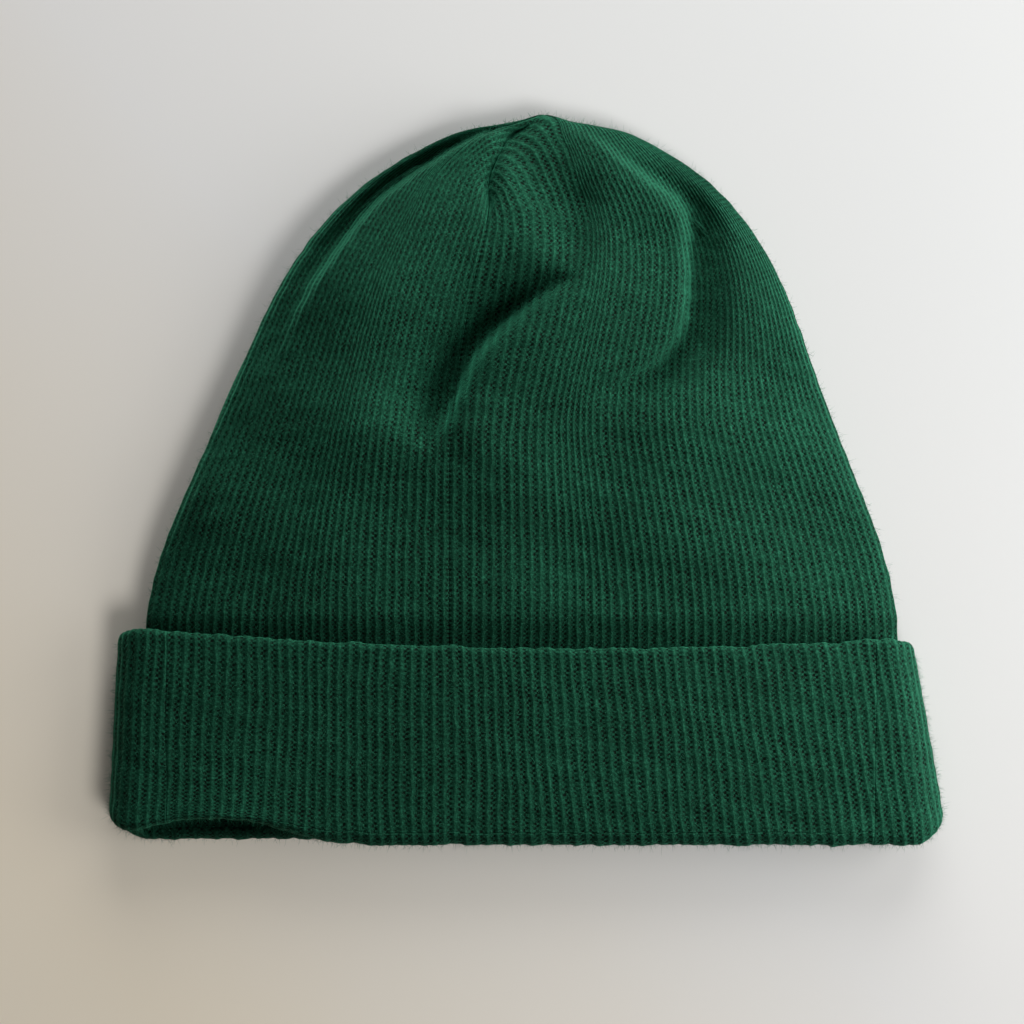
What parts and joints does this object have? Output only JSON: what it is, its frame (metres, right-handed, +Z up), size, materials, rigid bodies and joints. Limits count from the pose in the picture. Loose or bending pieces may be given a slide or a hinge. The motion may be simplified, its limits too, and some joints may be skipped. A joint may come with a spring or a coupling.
{
  "type": "knit beanie",
  "caption": "Double-layer rib-knit beanie with a turned-up cuff and a darted crown, lying flat.",
  "frame": {"origin": "on the table, below the middle of the hat's footprint (middle of the bounding box, bottom)", "axes": "+X across the hat to its right as seen from above, +Y from the folded brim to the crown, +Z up from the table; the hat lies on its rear with its front facing up"},
  "size_m": [0.232, 0.2036, 0.0281],
  "materials": {
    "knit": "brushed wool-blend rib knit, dark green",
    "thread": "overlock thread, dark green"
  },
  "bodies": {
    "hat": {"outer_shell": "knit", "lining": "knit", "crown_tack": "thread", "shell_seam_front": "thread", "shell_seam_rear": "thread", "shell_seam_left": "thread", "shell_seam_right": "thread", "lining_seam_front": "thread", "lining_seam_rear": "thread", "lining_seam_left": "thread", "lining_seam_right": "thread", "front_edge_fold_face": "knit", "front_edge_fold_backing": "knit", "rear_edge_fold_face": "knit", "rear_edge_fold_backing": "knit"},
    "front_cuff": {"front_cuff_face": "knit", "front_cuff_backing": "knit"},
    "rear_cuff": {"rear_cuff_face": "knit", "rear_cuff_backing": "knit"},
    "cuff_sides": {"left_cuff_side_face": "knit", "left_cuff_side_backing": "knit", "right_cuff_side_face": "knit", "right_cuff_side_backing": "knit"}
  },
  "joints": [
    {"name": "front_cuff_turn", "type": "hinge", "parent": "hat", "child": "front_cuff", "pos_m": [0, -0.0983, 0.0167], "axis": [1, 0, 0], "range_deg": [0, 179.5], "deforming": ["front_edge_fold_face", "front_edge_fold_backing"]},
    {"name": "rear_cuff_turn", "type": "hinge", "parent": "hat", "child": "rear_cuff", "pos_m": [0, -0.0983, 0.0039], "axis": [-1, 0, 0], "range_deg": [0, 179.5], "deforming": ["rear_edge_fold_face", "rear_edge_fold_backing"]},
    {"name": "cuff_sides_slide", "type": "slide", "parent": "hat", "child": "cuff_sides", "axis": [0, -1, 0], "range_m": [0, 0.0531]}
  ],
  "couplings": [
    {"joint": "rear_cuff_turn", "follows": "front_cuff_turn", "ratio": 1},
    {"joint": "cuff_sides_slide", "follows": "front_cuff_turn", "m_per_rad": 0.016949}
  ]
}
